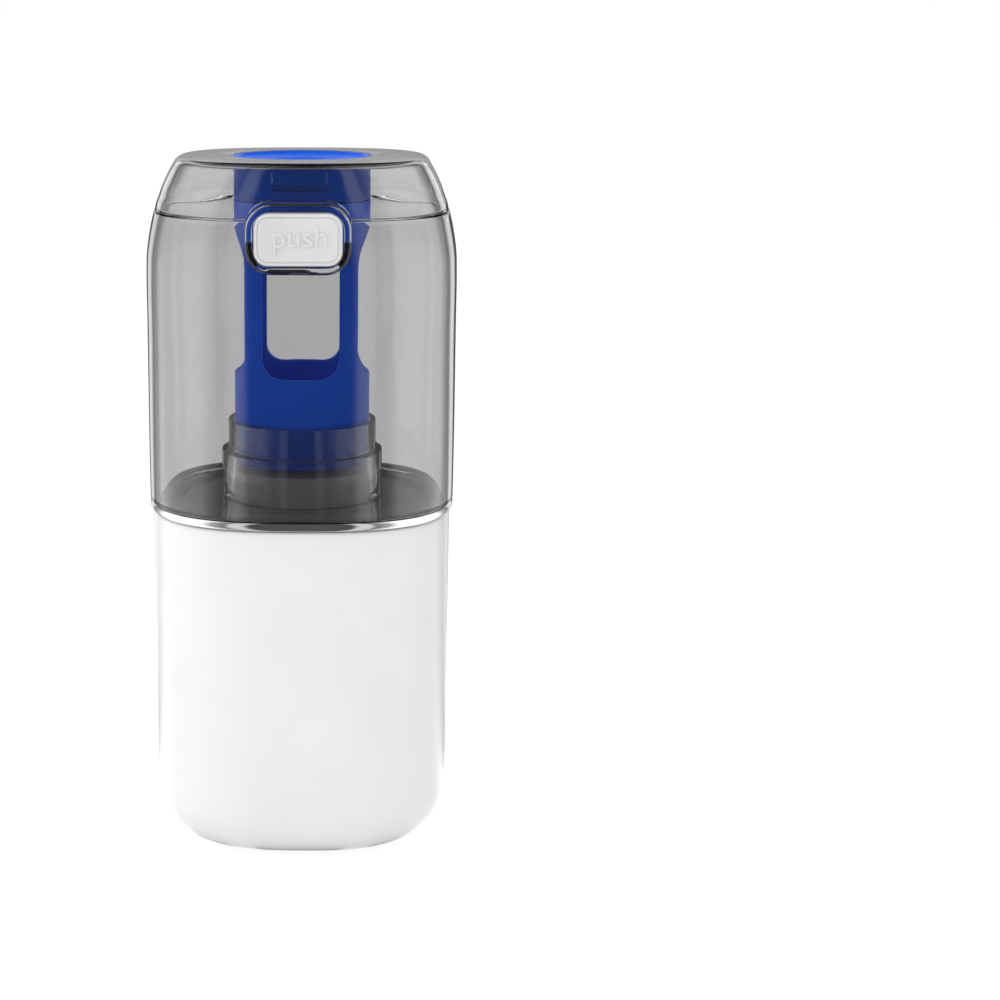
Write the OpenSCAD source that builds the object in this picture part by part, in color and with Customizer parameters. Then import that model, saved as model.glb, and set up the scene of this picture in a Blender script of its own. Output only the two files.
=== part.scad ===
// Battery pencil sharpener: white base, smoke-clear shavings bin and hinged lid,
// blue turning cutter cage under a blue pencil funnel. Millimetres, +Z up, front faces -Y.

/* [Outline] */
// Overall height above the table
total_h = 168.5; // [150:0.5:190]
// Half width of the bin at its widest
bin_half = 37.5; // [32:0.1:45]
// Half width of the base at its top edge
base_half = 36.7; // [32:0.1:44]
// Squareness of the plan outline (2 is a circle)
squareness = 2.7; // [2.1:0.1:4]
// Points around one outline ring
ring_points = 64; // [32:4:96]
// Radius of the bottom edge of the base
bottom_round = 12; // [6:0.5:16]

/* [Walls and levels] */
// Wall of the base housing
base_wall = 2.2; // [1.6:0.1:3]
// Wall of the clear bin and lid
clear_wall = 2; // [1.2:0.1:3]
// Height of the base top edge
base_top = 83.4; // [70:0.1:95]
// Level of the parting line between bin and lid
lid_line = 155.7; // [145:0.1:160]
// Top face of the bin floor
floor_top = 85.5; // [84.5:0.1:90]

/* [Cutter cage] */
// Outside radius of the blue cage and funnel
cage_r = 16.75; // [14:0.05:20]
// Wall of the blue cage
cage_wall = 2.5; // [1.5:0.1:4]
// Lower end of the cage
cage_bottom = 94.4; // [92:0.1:100]
// Upper end of the cage
cage_top = 157.9; // [150:0.1:160]
// Width of a cage window
window_w = 18.5; // [10:0.1:22]
// Lower edge of the windows
window_low = 116; // [105:0.5:125]
// Upper edge of the windows
window_high = 150.7; // [140:0.1:153]
// Radius of the lower corners of a window
window_round = 4.5; // [1:0.1:8]
// Radius of the upper corners of a window
window_dome = 8.5; // [4:0.1:9]
// Widest pencil that fits the funnel bore
pencil_d = 8.2; // [7:0.1:12]

/* [Button and latch] */
// Width of the push button
button_w = 20.2; // [14:0.1:26]
// Height of the push button
button_h = 11.9; // [8:0.1:16]
// Level of the middle of the button
button_z = 151.95; // [145:0.05:155]
// Width of the clear frame around the button
bezel_w = 24.2; // [18:0.1:30]
// Height of the clear frame around the button
bezel_h = 16; // [12:0.1:20]
// Gap between the button and its frame
button_gap = 0.3; // [0.2:0.05:0.6]

/* [Drive] */
// Radius of the drive shaft
shaft_r = 3; // [2:0.1:4]
// Running clearance on the radius of shafts and pins
run_gap = 0.05; // [0.02:0.01:0.09]
// Distance of the motor from the drive shaft
motor_y = 24.5; // [22:0.1:26]
// Module of the first gear pair
module_1 = 0.5; // [0.4:0.05:0.6]
// Teeth on the motor pinion and on the small idler gear
pinion_teeth = 12; // [10:1:16]
// Teeth on the large idler gear and on the output gear
wheel_teeth = 48; // [36:1:60]
// Module of the second gear pair
module_2 = 0.6667; // [0.5:0.0001:0.8]

/* [Cells and door] */
// Radius of one cell
cell_r = 7.1; // [7:0.05:7.25]
// Length of one cell with its button
cell_len = 50.5; // [49.5:0.1:50.5]
// Half distance between two cells
cell_pitch = 7.9; // [7.6:0.05:8.5]
// Middle of the cell group behind the centre line
cell_y = 2; // [0:0.5:4]
// Level of the lower end of the cells
cell_z = 6.3; // [5:0.1:8]
// Half width of the bottom door
door_half = 16.9; // [16:0.1:18]

/* [Hidden] */
$fn = 64;
$fa = 6;
// Distance of the lid hinge behind the centre line
hinge_y = 36.9;
hinge_z = lid_line + 0.1;
hinge_r = 2.3;
pin_r = 1;
first_r = module_1 * (pinion_teeth + wheel_teeth) / 2;
second_r = module_2 * (pinion_teeth + wheel_teeth) / 2;
// The idler stands where the two centre distances meet
idler_y = -(motor_y * motor_y + second_r * second_r - first_r * first_r) / (2 * motor_y);
idler_x = sqrt(second_r * second_r - idler_y * idler_y);
cage_in = cage_r - cage_wall;
neck_in = cage_r + 0.35;
deck_under = 81.2;

white = [0.93, 0.93, 0.94];
blue = [0.06, 0.17, 0.6];
smoke = [0.55, 0.56, 0.58, 0.35];
steel = [0.74, 0.75, 0.77];
brass = [0.8, 0.66, 0.32];
grey = [0.35, 0.36, 0.38];

// Distance of the rounded-square outline from its middle at angle t, for half width a
function reach(a, t) = a / pow(pow(abs(cos(t)), squareness) + pow(abs(sin(t)), squareness),
  1 / squareness);
function ring(a, z) = [for (i = [0:ring_points - 1]) let(t = 360 * (i + 0.5) / ring_points)
  [reach(a, t) * cos(t), reach(a, t) * sin(t), z]];

// Closed body through rounded-square rings; each row is [half width, height]
module loft(rows) {
  n = ring_points;
  k = len(rows);
  points = [for (r = rows) each ring(r[0], r[1])];
  sides = [for (j = [0:k - 2], i = [0:n - 1]) let(i2 = (i + 1) % n)
    each [[j * n + i, j * n + n + i, j * n + i2], [j * n + i2, j * n + n + i, j * n + n + i2]]];
  low = [[for (i = [0:n - 1]) i]];
  high = [[for (i = [n - 1:-1:0]) (k - 1) * n + i]];
  polyhedron(points, concat(low, sides, high));
}

// Upright plate with round corners, standing in the XZ plane and reaching from y0 to y1
module upright(w, h, r, y0, y1) {
  for (x = [-w / 2 + r, w / 2 - r], z = [-h / 2 + r, h / 2 - r])
    translate([x, y1, z]) rotate([90, 0, 0]) cylinder(r = r, h = y1 - y0);
  translate([-w / 2 + r, y0, -h / 2]) cube([w - 2 * r, y1 - y0, h]);
  translate([-w / 2, y0, -h / 2 + r]) cube([w, y1 - y0, h - 2 * r]);
}

// Flat tooth outline with straight flanks; a tooth points along the angle turn
module gear(teeth, m, h, turn) {
  pr = m * teeth / 2;
  p = 360 / teeth;
  spots = [[-0.3, -1.15], [-0.11, 0.85], [0.11, 0.85], [0.3, -1.15]];
  linear_extrude(h) polygon([for (i = [0:teeth - 1], s = spots)
    let(t = turn + (i + s[0]) * p, q = pr + s[1] * m) [q * cos(t), q * sin(t)]]);
}

module at_cells() {
  for (x = [-cell_pitch, cell_pitch], y = [-cell_pitch, cell_pitch])
    translate([x, cell_y + y, 0]) children();
}

module at_posts() {
  for (p = [[-19.5, -12], [-8, 21.5], [19.5, 10]])
    translate([p[0], p[1], 0]) children();
}

module at_feet() {
  for (p = [[-13, -18.6], [13, -18.6], [-20.4, 11], [20.4, 11]])
    translate([p[0], p[1], 0]) children();
}

// White cup that holds the cells, motor and gears
module base_housing() {
  foot = base_half - 0.5 - bottom_round;
  color(white) difference() {
    loft([[foot, 0.8], [foot + bottom_round * sin(15), 0.8 + bottom_round * (1 - cos(15))],
      [foot + bottom_round * sin(30), 0.8 + bottom_round * (1 - cos(30))],
      [foot + bottom_round * sin(45), 0.8 + bottom_round * (1 - cos(45))],
      [foot + bottom_round * sin(60), 0.8 + bottom_round * (1 - cos(60))],
      [foot + bottom_round * sin(75), 0.8 + bottom_round * (1 - cos(75))],
      [base_half - 0.5, 0.8 + bottom_round], [base_half - 0.2, base_top - 1.2],
      [base_half - 0.5, base_top - 0.3], [base_half - 0.9, base_top],
      [base_half - base_wall, base_top], [base_half - base_wall, deck_under],
      [base_half - base_wall - 0.8, deck_under], [base_half - base_wall - 0.8, deck_under - 2],
      [base_half - base_wall, deck_under - 3.5],
      [base_half - base_wall - 0.3, 0.8 + bottom_round],
      [foot + 10 * sin(55), 3.2 + 10 * (1 - cos(55))], [foot, 3.2]]);
    translate([-door_half - 0.3, cell_y - door_half - 0.3, 0])
      cube([2 * door_half + 0.6, 2 * door_half + 0.6, 6]);
    translate([-door_half - 2, cell_y + door_half - 1, 2]) rotate([0, 90, 0])
      cylinder(r = 0.8 + run_gap, h = 2 * door_half + 4);
    at_feet() cylinder(r = 2.8, h = 1.6);
  }
}

// Box with four bores that carries the cells
module battery_tray() {
  half = cell_pitch + 8.7;
  color(grey) difference() {
    translate([-half, cell_y - half, 3.5]) cube([2 * half, 2 * half, 58]);
    at_cells() translate([0, 0, 3]) cylinder(r = cell_r + 0.35, h = 55.6);
    for (y = [-cell_pitch, cell_pitch])
      translate([-12, cell_y + y - 3.5, cell_z + cell_len + 0.1]) cube([24, 7, 1.7]);
  }
}

// Two sheet bridges that join the upper ends of the cells
module top_contacts() {
  color(steel) for (y = [-cell_pitch, cell_pitch])
    translate([-11.5, cell_y + y - 3.2, cell_z + cell_len + 0.2]) cube([23, 6.4, 0.6]);
}

module cell(up) {
  color(up ? brass : grey) translate([0, 0, cell_z]) {
    translate([0, 0, up ? 0 : 1]) cylinder(r = cell_r, h = cell_len - 1);
    translate([0, 0, up ? cell_len - 1.2 : 0]) cylinder(r = 2.7, h = 1.2);
  }
}

module cell_front_left() {
  translate([-cell_pitch, cell_y - cell_pitch, 0]) cell(true);
}

module cell_front_right() {
  translate([cell_pitch, cell_y - cell_pitch, 0]) cell(false);
}

module cell_rear_left() {
  translate([-cell_pitch, cell_y + cell_pitch, 0]) cell(false);
}

module cell_rear_right() {
  translate([cell_pitch, cell_y + cell_pitch, 0]) cell(true);
}

// Bottom door with a round rear bead and two hinge pegs
module battery_door() {
  rear = cell_y + door_half - 1;
  color(white) difference() {
    union() {
      translate([-door_half, cell_y - door_half, 0.9]) cube([2 * door_half, 2 * door_half - 1, 2]);
      translate([-door_half, rear, 2]) rotate([0, 90, 0]) cylinder(r = 1, h = 2 * door_half);
      translate([-door_half - 1.5, rear, 2]) rotate([0, 90, 0])
        cylinder(r = 0.8, h = 2 * door_half + 3);
    }
    for (i = [0:3])
      translate([-5, cell_y - 13.5 + 1.4 * i, 0.8]) cube([10, 0.7, 0.5]);
  }
}

// Four short coils on the door that press the cells up
module door_springs() {
  color(steel) {
    at_cells() for (i = [0:2])
      translate([0, 0, 3.4 + i * 1.15]) rotate_extrude() translate([3.4 - i * 0.5, 0]) circle(r = 0.45);
    for (y = [-cell_pitch, cell_pitch])
      translate([-11.5, cell_y + y - 2, 2.9]) cube([23, 4, 0.3]);
  }
}

module rubber_feet() {
  color(grey) at_feet() cylinder(r = 2.8, h = 1.6);
}

// Grey deck that closes the base, with a hollow plinth that fills the collar and holds
// the boss of the drive shaft
module base_deck() {
  rim = base_half - base_wall - 0.3;
  plinth_r = cage_r - 0.15;
  plinth_h = 9.1;
  plinth_wall = 1.6;
  color(grey) difference() {
    union() {
      loft([[rim, deck_under], [rim, base_top], [rim - 0.7, base_top + 0.2],
        [rim - 0.9, base_top + 0.6]]);
      translate([0, 0, base_top]) cylinder(r = plinth_r, h = plinth_h);
    }
    difference() {
      translate([0, 0, deck_under - 1])
        cylinder(r = plinth_r - plinth_wall, h = base_top + plinth_h - plinth_wall - deck_under + 1);
      translate([0, 0, deck_under - 2]) cylinder(r = 8, h = 20);
    }
    translate([0, 0, deck_under - 1]) cylinder(r = 5, h = 20);
    translate([idler_x, idler_y, deck_under - 1]) cylinder(r = 1.5, h = 2);
  }
}

module output_bush() {
  color(brass) difference() {
    union() {
      translate([0, 0, deck_under]) cylinder(r = 5, h = 11.3);
      translate([0, 0, deck_under - 0.8]) cylinder(r = 6.2, h = 0.8);
    }
    translate([0, 0, deck_under - 2]) cylinder(r = shaft_r + run_gap, h = 20);
  }
}

// Plate under the gears that holds the motor, the idler axle and the shaft foot
module gear_plate() {
  color(grey) difference() {
    union() {
      translate([0, 0, 66]) cylinder(r = 24.5, h = 2);
      translate([0, -motor_y, 66]) cylinder(r = 9, h = 2);
      translate([0, 0, 63.5]) cylinder(r = 5.5, h = 2.6);
      at_posts() translate([0, 0, 68]) cylinder(r = 2.6, h = deck_under - 68);
    }
    translate([0, 0, 60]) cylinder(r = shaft_r + run_gap, h = 10);
    translate([0, -motor_y, 60]) cylinder(r = 3, h = 10);
    translate([idler_x, idler_y, 60]) cylinder(r = 1.5, h = 10);
    at_posts() translate([0, 0, 60]) cylinder(r = 1.2, h = 20);
  }
}

module gear_screws() {
  color(steel) at_posts() difference() {
    union() {
      translate([0, 0, 66 - 1.6]) cylinder(r = 2.4, h = 1.6);
      translate([0, 0, 65]) cylinder(r = 1.2, h = 14);
    }
    translate([-0.3, -1.8, 64]) cube([0.6, 3.6, 1]);
    translate([-1.8, -0.3, 64]) cube([3.6, 0.6, 1]);
  }
}

// Steel motor can with flat sides
module motor_can() {
  color(steel) translate([0, -motor_y, 0]) difference() {
    union() {
      intersection() {
        translate([0, 0, 41]) cylinder(r = 10.05, h = 25);
        translate([-11, -7.55, 40]) cube([22, 15.1, 27]);
      }
      translate([0, 0, 65.5]) cylinder(r = 3, h = 2.3);
    }
    intersection() {
      translate([0, 0, 40]) cylinder(r = 9.3, h = 25.2);
      translate([-11, -6.8, 39]) cube([22, 13.6, 28]);
    }
    translate([0, 0, 60]) cylinder(r = pin_r + run_gap, h = 10);
  }
}

module motor_end_cap() {
  color(grey) translate([0, -motor_y, 0]) difference() {
    union() {
      intersection() {
        translate([0, 0, 38.6]) cylinder(r = 10.05, h = 2.4);
        translate([-11, -7.55, 38]) cube([22, 15.1, 4]);
      }
      translate([0, 0, 37.4]) cylinder(r = 3, h = 1.4);
    }
    translate([0, 0, 39]) cylinder(r = pin_r + run_gap, h = 10);
    for (x = [-7, 7])
      translate([x - 0.3, -1.2, 36]) cube([0.6, 2.4, 6]);
  }
}

module motor_terminals() {
  color(brass) translate([0, -motor_y, 0]) for (x = [-7, 7])
    translate([x - 0.3, -1.2, 34.5]) difference() {
      cube([0.6, 2.4, 6.4]);
      translate([-1, 1.2, 1.4]) rotate([0, 90, 0]) cylinder(r = 0.5, h = 3);
    }
}

// Small snap switch under the deck that starts the motor
module start_switch() {
  color(grey) difference() {
    translate([-22.4, -28, 74.4]) cube([12.8, 6, deck_under - 74.4]);
    for (x = [-19.2, -12.8])
      translate([x, -30, 76.4]) rotate([-90, 0, 0]) cylinder(r = 1, h = 10);
  }
  color(steel) for (x = [-20.8, -16, -11.2])
    translate([x - 0.25, -26, 71.2]) cube([0.5, 2, 3.2]);
}

module idler_axle() {
  color(steel) translate([idler_x, idler_y, 65]) cylinder(r = 1.5, h = deck_under - 64.2);
}

// Large and small idler gears in one moulding
module idler_gear() {
  to_out = atan2(-idler_y, -idler_x);
  to_motor = atan2(-motor_y - idler_y, -idler_x);
  color(white) translate([idler_x, idler_y, 0]) difference() {
    union() {
      translate([0, 0, 69.5]) gear(wheel_teeth, module_1, 4, to_motor);
      translate([0, 0, 73.5]) gear(pinion_teeth, module_2, 5.8, to_out + 180 / pinion_teeth);
      translate([0, 0, 68.4]) cylinder(r = 3, h = 12.4);
    }
    translate([0, 0, 60]) cylinder(r = 1.5 + run_gap, h = 25);
  }
}

// Motor shaft with its wound armature
module motor_rotor() {
  color(steel) translate([0, -motor_y, 0]) {
    translate([0, 0, 39.2]) cylinder(r = pin_r, h = 38.6);
    translate([0, 0, 47]) cylinder(r = 6, h = 14);
    translate([0, 0, 43]) cylinder(r = 2.4, h = 4);
  }
}

module motor_pinion() {
  from_motor = atan2(idler_y + motor_y, idler_x);
  color(brass) translate([0, -motor_y, 0]) difference() {
    translate([0, 0, 69]) gear(pinion_teeth, module_1, 5, from_motor + 180 / pinion_teeth);
    translate([0, 0, 68]) cylinder(r = pin_r, h = 8);
  }
}

module output_gear() {
  to_idler = atan2(idler_y, idler_x);
  color(white) difference() {
    union() {
      translate([0, 0, 74.6]) gear(wheel_teeth, module_2, 4.4, to_idler);
      translate([0, 0, 70]) cylinder(r = 5.5, h = 10);
    }
    translate([0, 0, 60]) cylinder(r = shaft_r, h = 25);
    for (i = [0:5]) rotate([0, 0, 60 * i])
      translate([9.5, 0, 70]) cylinder(r = 2.6, h = 12);
  }
}

module drive_shaft() {
  color(steel) translate([0, 0, 63.8]) cylinder(r = shaft_r, h = cage_bottom + 4.1 - 63.8);
}

// Blue turning cage with four windows
module cutter_cage() {
  tall = window_high - window_low - 6;
  dome_h = 20;
  color(blue) difference() {
    translate([0, 0, cage_bottom]) cylinder(r = cage_r, h = cage_top - cage_bottom);
    translate([0, 0, cage_bottom + 4.1]) cylinder(r = cage_in, h = 70);
    translate([0, 0, cage_bottom - 1]) cylinder(r = shaft_r, h = 10);
    for (a = [0, 90]) rotate([0, 0, a]) {
      translate([0, 0, window_low + tall / 2]) upright(window_w, tall, window_round, -20, 20);
      translate([0, 0, window_high - dome_h / 2]) upright(window_w, dome_h, window_dome, -20, 20);
    }
  }
}

// Cone holder that the pencil turns in; the blade lies on its slanted flat
module cutter_block() {
  color(grey) rotate([0, 0, 90]) difference() {
    union() {
      translate([0, 0, 153.4]) cylinder(r = cage_in, h = cage_top - 153.4);
      translate([-6.5, -9, 140.4]) cube([13, 17, 13.5]);
    }
    translate([0, 0, 140]) cylinder(r1 = 0.7, r2 = 4.4, h = 17.95);
    translate([0, 0, 157.4]) cylinder(r1 = 4.4, r2 = 5.2, h = 0.6);
    translate([0, -0.9, 140.4]) rotate([11.6, 0, 0]) translate([-10, -20, -4]) cube([20, 20, 16.6]);
    translate([0, -0.9, 140.4]) rotate([11.6, 0, 0]) translate([4.2, -1, 5]) rotate([-90, 0, 0])
      cylinder(r = 0.9, h = 6);
  }
}

module cutter_blade() {
  color(steel) rotate([0, 0, 90]) translate([0, -0.9, 140.4]) rotate([11.6, 0, 0]) difference() {
    translate([-0.2, -0.8, -0.2]) cube([6.6, 0.8, 12.6]);
    translate([4.2, -2, 5]) rotate([-90, 0, 0]) cylinder(r = 0.9, h = 6);
  }
}

module blade_screw() {
  color(brass) rotate([0, 0, 90]) translate([0, -0.9, 140.4]) rotate([11.6, 0, 0])
    translate([4.2, 0, 5]) difference() {
      union() {
        translate([0, -2, 0]) rotate([-90, 0, 0]) cylinder(r = 1.9, h = 1.2);
        translate([0, -1, 0]) rotate([-90, 0, 0]) cylinder(r = 0.9, h = 4.8);
      }
      translate([-2.5, -2.4, -0.3]) cube([5, 0.9, 0.6]);
    }
}

// Smoke-clear bin: skirt, floor and bulged walls up to the parting line
module reservoir_shell() {
  w = clear_wall;
  color(smoke) difference() {
    union() {
      loft([[bin_half - 2.6, floor_top - 1.3], [bin_half - 2.6, base_top + 0.3],
        [bin_half - 0.6, base_top + 0.3], [bin_half - 0.3, base_top + 0.7],
        [bin_half - 0.15, 90], [bin_half, 130], [bin_half + 0.05, 141], [bin_half - 0.15, 146],
        [bin_half - 0.7, 150], [bin_half - 1.35, 153.5], [bin_half - 1.9, lid_line],
        [bin_half - 1.9 - w, lid_line], [bin_half - 0.8 - w, 150], [bin_half - w, 141],
        [bin_half - 0.15 - w, 90], [bin_half - 0.6 - w, 87], [bin_half - 1.6 - w, floor_top]]);
      for (x = [-10, 5]) {
        translate([x, hinge_y, hinge_z]) rotate([0, 90, 0]) cylinder(r = hinge_r, h = 5);
        translate([x, 34.9, 149]) cube([5, 2.6, 6]);
      }
    }
    translate([0, 0, floor_top - 2]) cylinder(r = 18.4, h = 4);
    translate([0, 0, button_z]) upright(bezel_w, bezel_h, 6, -45, -30);
    translate([-4.8, hinge_y, hinge_z]) rotate([0, 90, 0]) cylinder(r = hinge_r + 0.5, h = 9.6);
    translate([-15, hinge_y, hinge_z]) rotate([0, 90, 0]) cylinder(r = pin_r, h = 30);
    translate([-10.5, 20, lid_line]) cube([21, hinge_y - hinge_r - 20.1, 8]);
  }
}

// Stepped clear collar that keeps shavings away from the drive
module neck_collar() {
  color(smoke) difference() {
    union() {
      translate([0, 0, floor_top - 1.3]) cylinder(r = 18.4, h = 1.3);
      translate([0, 0, floor_top]) cylinder(r = 20.05, h = 11.5);
      translate([0, 0, floor_top + 11.5]) cylinder(r = 18.4, h = 7.4);
    }
    translate([0, 0, floor_top - 3]) cylinder(r = neck_in, h = 40);
  }
}

// Thick clear frame around the button; it fills the notch in bin and lid
module button_bezel() {
  g = 2 * button_gap;
  color(smoke) translate([0, 0, button_z]) difference() {
    upright(bezel_w, bezel_h, 6, -38.7, -33);
    upright(button_w + g, button_h + g, 3.6, -40, -30);
  }
}

// Yoke behind the frame that guides the button stem
module button_guide() {
  guide_z = 145.8;
  guide_h = 5.2;
  color(smoke) difference() {
    union() {
      for (x = [-12, 8.2])
        translate([x, -33, guide_z]) cube([3.8, 2, guide_h]);
      for (x = [-9.6, 8.2])
        translate([x, -31.5, guide_z]) cube([1.4, 9, guide_h]);
      translate([-9.6, -24.5, guide_z]) cube([19.2, 2, guide_h]);
    }
    translate([0, -20, 148]) rotate([90, 0, 0]) cylinder(r = 1.5 + run_gap, h = 10);
  }
}

module hinge_pin() {
  color(steel) translate([-9.8, hinge_y, hinge_z]) rotate([0, 90, 0]) cylinder(r = pin_r, h = 19.6);
}

// Push button with its stem and the arm that holds the latch tongue
module press_button() {
  color([0.88, 0.89, 0.9]) {
    translate([0, 0, button_z]) upright(button_w, button_h, 3.3, -38.6, -35.6);
    translate([0, 0, button_z]) upright(button_w - 2, button_h - 2, 2.5, -39.2, -38.6);
    translate([0, -21, 148]) rotate([90, 0, 0]) cylinder(r = 1.5, h = 15);
    translate([-4, -36, 148.6]) cube([8, 8.3, 2]);
    translate([-4, -28.9, 148.6]) cube([8, 1.2, 6.4]);
  }
}

module button_spring() {
  color(steel) for (i = [0:2])
    translate([0, -27 + i, 148]) rotate([90, 0, 0]) rotate_extrude() translate([2.3, 0]) circle(r = 0.35);
}

// Smoke-clear lid with its latch tongue and the middle hinge knuckle
module lid_shell() {
  w = clear_wall;
  z = lid_line + 0.3;
  color(smoke) difference() {
    union() {
      loft([[bin_half - 2.1, z], [bin_half - 3.2, 159.6], [bin_half - 3.9, 161.5],
        [bin_half - 4.8, 163.5], [bin_half - 5.8, 165.4], [bin_half - 6.4, 166.6],
        [bin_half - 6.9, 167.5], [bin_half - 7.6, 168.2], [bin_half - 8.4, total_h],
        [5, total_h]]);
      translate([-4.5, hinge_y, hinge_z]) rotate([0, 90, 0]) cylinder(r = hinge_r, h = 9);
      translate([-4.5, 33.6, hinge_z + 0.4]) cube([9, 3.6, 1.8]);
    }
    difference() {
      loft([[bin_half - 2.1 - w, z - 1], [bin_half - 2.1 - w, z], [bin_half - 3.2 - w, 159.6],
        [bin_half - 4.8 - w, 163.5], [bin_half - 5.6 - w, 165.4], [bin_half - 6.4 - w, 166.6],
        [bin_half - 7.4 - w, total_h - 1.3], [5, total_h - 1.3]]);
      translate([-6.4, -31.9, 158]) cube([12.8, 1.4, 10]);
    }
    translate([0, 0, 160]) cylinder(r = cage_r, h = 12);
    translate([0, 0, button_z]) upright(bezel_w + 0.6, bezel_h + 0.6, 6.3, -45, -32.2);
    for (x = [-10.3, 4.8])
      translate([x, hinge_y, hinge_z]) rotate([0, 90, 0]) cylinder(r = hinge_r + 0.5, h = 5.5);
    translate([-15, hinge_y, hinge_z]) rotate([0, 90, 0]) cylinder(r = pin_r + run_gap, h = 30);
  }
  color(smoke) translate([-6.4, -31.9, 152]) cube([12.8, 1.4, 6.2]);
  color(smoke) translate([-4, -30.6, 152]) cube([8, 1.3, 1.2]);
}

// Blue funnel that guides the pencil into the cutter
module pencil_funnel() {
  b = pencil_d / 2;
  color([0.1, 0.4, 0.95]) rotate_extrude() polygon([[b, 158.4], [b, 166.4], [b + 0.6, 166.9],
    [15.2, 168], [15.4, 168.4], [16.4, total_h], [cage_r, 168.2], [cage_r, 158.2],
    [cage_r - 1.8, 158.2], [cage_r - 1.8, 164.8], [b + 2, 164.2], [b + 2, 158.4]]);
}

base_housing();
battery_tray();
top_contacts();
cell_front_left();
cell_front_right();
cell_rear_left();
cell_rear_right();
battery_door();
door_springs();
rubber_feet();
base_deck();
output_bush();
gear_plate();
gear_screws();
motor_can();
motor_end_cap();
motor_terminals();
start_switch();
idler_axle();
idler_gear();
motor_rotor();
motor_pinion();
output_gear();
drive_shaft();
cutter_cage();
cutter_block();
cutter_blade();
blade_screw();
reservoir_shell();
neck_collar();
button_bezel();
button_guide();
hinge_pin();
press_button();
button_spring();
lid_shell();
pencil_funnel();
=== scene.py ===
import math

import bmesh
import bpy
import numpy as np
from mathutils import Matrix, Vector


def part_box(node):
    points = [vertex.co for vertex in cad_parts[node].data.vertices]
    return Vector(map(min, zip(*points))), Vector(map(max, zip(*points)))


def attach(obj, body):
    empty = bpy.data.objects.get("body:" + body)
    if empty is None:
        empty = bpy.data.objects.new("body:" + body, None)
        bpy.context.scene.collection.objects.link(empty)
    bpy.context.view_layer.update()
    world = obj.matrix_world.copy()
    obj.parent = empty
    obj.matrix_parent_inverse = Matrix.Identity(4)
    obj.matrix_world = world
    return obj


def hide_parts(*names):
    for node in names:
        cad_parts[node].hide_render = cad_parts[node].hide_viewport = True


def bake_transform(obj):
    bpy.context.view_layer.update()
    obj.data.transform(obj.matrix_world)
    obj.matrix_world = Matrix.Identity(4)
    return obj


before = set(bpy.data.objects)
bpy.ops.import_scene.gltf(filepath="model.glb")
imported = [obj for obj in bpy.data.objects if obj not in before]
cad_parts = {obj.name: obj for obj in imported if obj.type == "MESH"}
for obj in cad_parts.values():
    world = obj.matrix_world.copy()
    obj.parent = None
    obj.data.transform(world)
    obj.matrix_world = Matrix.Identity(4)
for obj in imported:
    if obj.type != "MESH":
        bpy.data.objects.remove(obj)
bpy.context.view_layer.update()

MM = 0.001
SQUARENESS = 2.7
AROUND = 192


# ---------------------------------------------------------------- shapes

def reach(half, angle, power):
    """Distance from the axis to a rounded-square outline: half width over the
    power-mean of |cos| and |sin| of the angle."""
    spread = np.abs(np.cos(angle)) ** power + np.abs(np.sin(angle)) ** power
    return half / spread ** (1.0 / power)


def rings(profile, angle):
    """Rings up a body: row k is the outline of half width, height and squareness
    profile[k], taken at every angle."""
    half, height, power = np.asarray(profile, float).T[:, :, None]
    away = reach(half, angle[None, :], power)
    return np.stack([away * np.cos(angle), away * np.sin(angle),
                     np.broadcast_to(height, away.shape)], -1)


def turn(count=AROUND):
    """Angles of one full turn, without the repeated last one."""
    return np.linspace(0, 2 * np.pi, count, endpoint=False)


def softened(points, radii, steps=4):
    """A closed line with round corners: each corner is cut back by its radius along
    both legs and joined by a quadratic curve that is tangent to them."""
    pts = np.asarray(points, float)
    t = np.linspace(0, 1, steps + 1)[:, None]
    out = []
    for before, corner, after, radius in zip(np.roll(pts, 1, 0), pts,
                                             np.roll(pts, -1, 0), radii):
        leg_a, leg_b = before - corner, after - corner
        long_a, long_b = np.hypot(*leg_a), np.hypot(*leg_b)
        cut = min(radius, long_a * 0.49, long_b * 0.49)
        start, end = corner + leg_a / long_a * cut, corner + leg_b / long_b * cut
        out.extend((1 - t) ** 2 * start + 2 * t * (1 - t) * corner + t ** 2 * end)
    return np.array(out)


def flowing(points, count):
    """A smooth line through points: cubic pieces whose slope at each point is the
    mean slope of its neighbours, sampled evenly by chord length."""
    pts = np.asarray(points, float)
    s = np.concatenate([[0], np.cumsum(np.linalg.norm(np.diff(pts, axis=0), axis=1))])
    slope = np.gradient(pts, s, axis=0)
    at = np.linspace(0, s[-1], count)
    k = np.clip(np.searchsorted(s, at, side="right") - 1, 0, len(s) - 2)
    h = (s[k + 1] - s[k])[:, None]
    t = ((at - s[k]) / (s[k + 1] - s[k]))[:, None]
    return ((2 * t ** 3 - 3 * t ** 2 + 1) * pts[k] + (t ** 3 - 2 * t ** 2 + t) * h * slope[k]
            + (3 * t ** 2 - 2 * t ** 3) * pts[k + 1] + (t ** 3 - t ** 2) * h * slope[k + 1])


def mesh_of(name, points, faces):
    """An object at the origin from points in millimetres and a list of face arrays."""
    data = bpy.data.meshes.new(name)
    data.from_pydata((np.asarray(points) * MM).tolist(), [],
                     [f for part in faces for f in np.asarray(part).tolist()])
    data.validate()
    made = bpy.data.objects.new(name, data)
    bpy.context.scene.collection.objects.link(made)
    return made


def skin(grid, wrap_rows=False, wrap_columns=True, first=0):
    """Quads between neighbouring rows and columns of a grid of points."""
    rows, columns = grid.shape[:2]
    i = np.arange(rows if wrap_rows else rows - 1)[:, None]
    j = np.arange(columns if wrap_columns else columns - 1)[None, :]
    i2, j2 = (i + 1) % rows, (j + 1) % columns
    quads = np.stack([i * columns + j, i * columns + j2, i2 * columns + j2,
                      i2 * columns + j], -1)
    return quads.reshape(-1, 4) + first


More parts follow.
